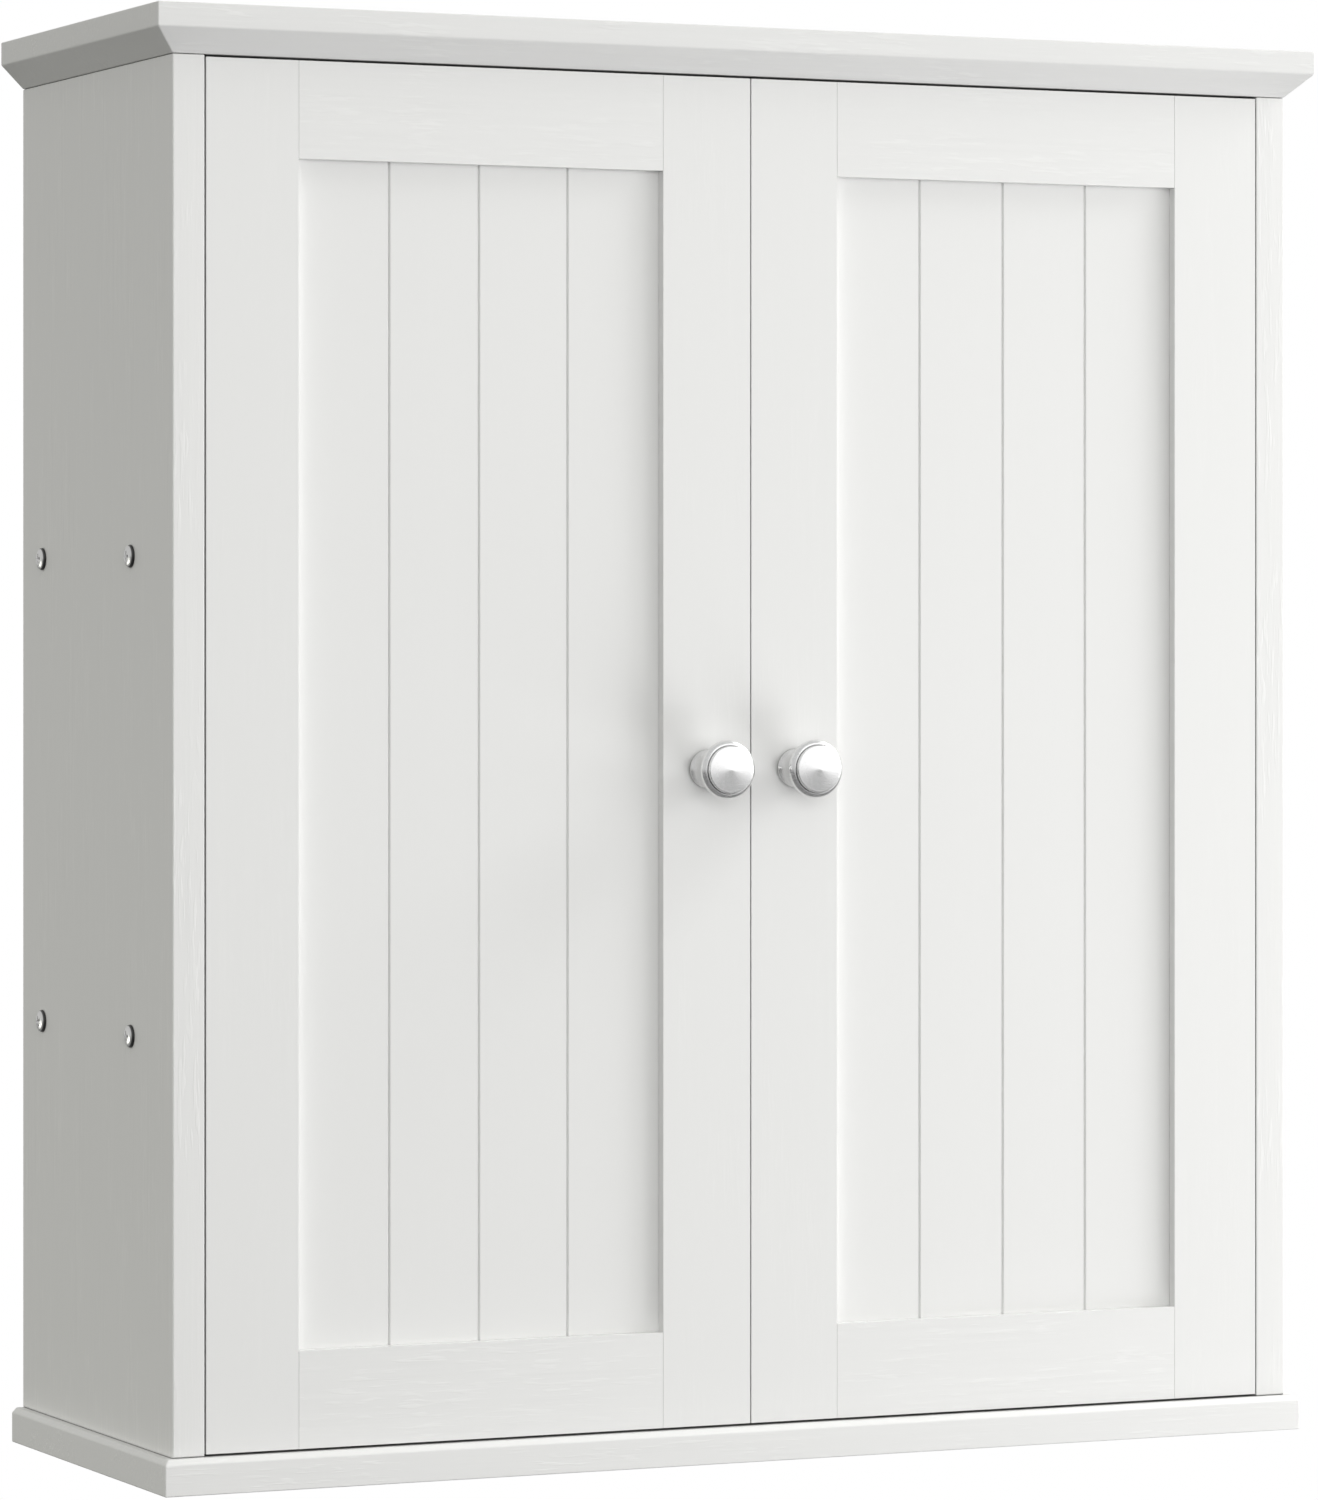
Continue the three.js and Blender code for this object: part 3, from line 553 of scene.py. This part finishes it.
def cross_cutter(reach, half_width, floor, top, material):
    """A cross with tapered arms, the shape of a cross-head screw's recess."""
    bm = bmesh.new()
    levels = ((floor, reach * 0.35, half_width * 0.6), (top, reach, half_width))
    for turn in (0, math.pi / 2):
        spin = Matrix.Rotation(turn, 3, "Z")
        low, high = (
            [bm.verts.new(spin @ Vector((x * length, y * width, z))) for x, y in SQUARE]
            for z, length, width in levels
        )
        bm.faces.new(low)
        bm.faces.new(high)
        for i in range(4):
            j = (i + 1) % 4
            bm.faces.new((low[i], low[j], high[j], high[i]))
    return object_from("cross", bm, material)


def add_screw(name, head, shank, material, segments=SCREW_SEGMENTS):
    shank_radius, length = shank
    profile = [(0, -length), (shank_radius, SHANK_TAPER - length), (shank_radius, head[0][1]), *head]
    screw = lathe(name, [(radius * MM, z * MM) for radius, z in profile], material, segments)
    widest = max(radius for radius, _ in head) * MM
    top = head[-1][1] * MM
    reach, half_width, depth = (widest * share for share in CROSS_SHARES)
    cut(screw, cross_cutter(reach, half_width, top - depth, top + CUT_OVERSHOOT, material))
    smooth(screw.data, math.radians(SMOOTH_ANGLE))
    return screw


def lay(obj, place, up, turn, body):
    """Puts obj at a place on a body with its head along up, after a turn about its own axis."""
    stand = Vector(up).to_track_quat("Z", "Y").to_matrix().to_4x4()
    obj.matrix_world = Matrix.Translation(place) @ stand @ Matrix.Rotation(turn, 4, "Z")
    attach(obj, body)


def middle(low, high):
    return (low + high) / 2


def add_side_screws(material):
    """The screws through the side panels into the shelves, each with its cross turned its own way."""
    turns = iter(SIDE_SCREW_TURNS)
    head_height = SIDE_SCREW_HEAD[1] * MM
    for shelf in ("shelf_upper", "shelf_lower"):
        for side, outward in zip(SIDES, (-1, 1)):
            for end in ("front", "rear"):
                node = f"{shelf}_screw_{side}_{end}"
                low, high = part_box(node)
                place = middle(low, high)
                place.x = low.x + head_height if outward < 0 else high.x - head_height
                head = pan_head(*SIDE_SCREW_HEAD)
                screw = add_screw(f"{node}_turned", head, BOARD_SHANK, material, SIDE_SCREW_SEGMENTS)
                lay(screw, place, (outward, 0, 0), next(turns), "root")
                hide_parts(node)


def add_end_screws(material):
    """The screws down through the crown and up through the base."""
    names = [name for name in NODES if name.startswith(("crown_screw", "base_screw"))]
    for i, node in enumerate(names):
        low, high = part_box(node)
        upward = node.startswith("crown")
        place = middle(low, high)
        place.z = high.z if upward else low.z
        screw = add_screw(f"{node}_turned", SINKING_HEAD, END_SHANK, material)
        lay(screw, place, (0, 0, 1 if upward else -1), END_SCREW_TURN * i, "root")
        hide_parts(node)


def add_knob_screws(material):
    """The machine screws through the knob stiles, seen from inside the doors."""
    for side in SIDES:
        node = f"{side}_knob_screw"
        low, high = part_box(node)
        place = middle(low, high)
        place.y = high.y - KNOB_SCREW_HEAD[1] * MM
        screw = add_screw(f"{node}_turned", pan_head(*KNOB_SCREW_HEAD), KNOB_SHANK, material)
        lay(screw, place, (0, 1, 0), KNOB_SCREW_TURN, f"{side}_door")
        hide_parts(node)


# ---- Hinges ----

CUP_SCREW_OFFSET = 19 * MM
PLATE_SCREW_OFFSET = 16 * MM
PLATE_THICKNESS = 2 * MM
ARM_THICKNESS = 2.2 * MM
ARM_SCREWS_FROM_REAR = {"clamp": 12 * MM, "adjuster": 30 * MM}


def add_hinge_screw(name, head, shank, place, up, body, material):
    screw = add_screw(name, pan_head(*head), shank, material, HINGE_SCREW_SEGMENTS)
    lay(screw, place, up, HINGE_SCREW_TURN, body)


def add_hinge_screws(side, level, material):
    """Two screws in the cup's wings, two in the plate, and the arm's clamp and adjuster."""
    inward = 1 if side == "left" else -1
    prefix = f"{side}_{level}"
    low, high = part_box(f"{prefix}_hinge_cup")
    cup = middle(low, high)
    cup.y = high.y
    for end, sign in (("top", 1), ("bottom", -1)):
        place = cup + Vector((0, 0, sign * CUP_SCREW_OFFSET))
        add_hinge_screw(
            f"{prefix}_cup_screw_{end}", CUP_SCREW_HEAD, HINGE_SHANK, place,
            (0, 1, 0), f"{side}_door", material,
        )
    low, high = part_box(f"{prefix}_hinge_plate")
    plate = middle(low, high)
    plate.x = (low.x if side == "left" else high.x) + inward * PLATE_THICKNESS
    for end, sign in (("top", 1), ("bottom", -1)):
        place = plate + Vector((0, 0, sign * PLATE_SCREW_OFFSET))
        add_hinge_screw(
            f"{prefix}_plate_screw_{end}", PLATE_SCREW_HEAD, HINGE_SHANK, place,
            (inward, 0, 0), "root", material,
        )
    low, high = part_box(f"{prefix}_hinge_arm")
    arm = middle(low, high)
    arm.x = (low.x if side == "left" else high.x) + inward * ARM_THICKNESS
    for name, from_rear in ARM_SCREWS_FROM_REAR.items():
        place = Vector((arm.x, high.y - from_rear, arm.z))
        add_hinge_screw(
            f"{prefix}_arm_{name}", ARM_SCREW_HEAD, ARM_SHANK, place,
            (inward, 0, 0), "root", material,
        )


def finish_hardware():
    nickel = plated_metal("nickel_plate", (0.72, 0.71, 0.69), 0.3)
    zinc = plated_metal("zinc_plate", (0.68, 0.69, 0.68), 0.35)
    for side in SIDES:
        for level in LEVELS:
            for part in ("hinge_cup", "hinge_plate", "hinge_arm", "outer_link", "inner_link"):
                node = f"{side}_{level}_{part}"
                set_material(node, nickel)
                ease_edges(NODES[node], METAL_EDGE, segments=2)
            add_hinge_screws(side, level, nickel)
    # The side screws' heads get painted shade on their side walls.
    shade_rim_height = SIDE_SCREW_SHADED_RIM * SIDE_SCREW_HEAD[1] * MM
    add_side_screws(plated_metal("side_screw_zinc_painted_shade", (0.8, 0.8, 0.79), 0.32, shaded_rim_height=shade_rim_height))
    add_end_screws(zinc)
    add_knob_screws(zinc)
    spun = spun_metal("spun_metal", 0.94, 0.26, brushing=0.6)
    for side in SIDES:
        add_knob(side, spun)


# ---- The whole scene ----

bpy.context.scene.view_settings.view_transform = "Standard"
add_world(*WORLD_STRENGTHS)
add_floor(*FLOOR_STRENGTHS)
add_lights()
add_camera()
finish_boards()
finish_hardware()
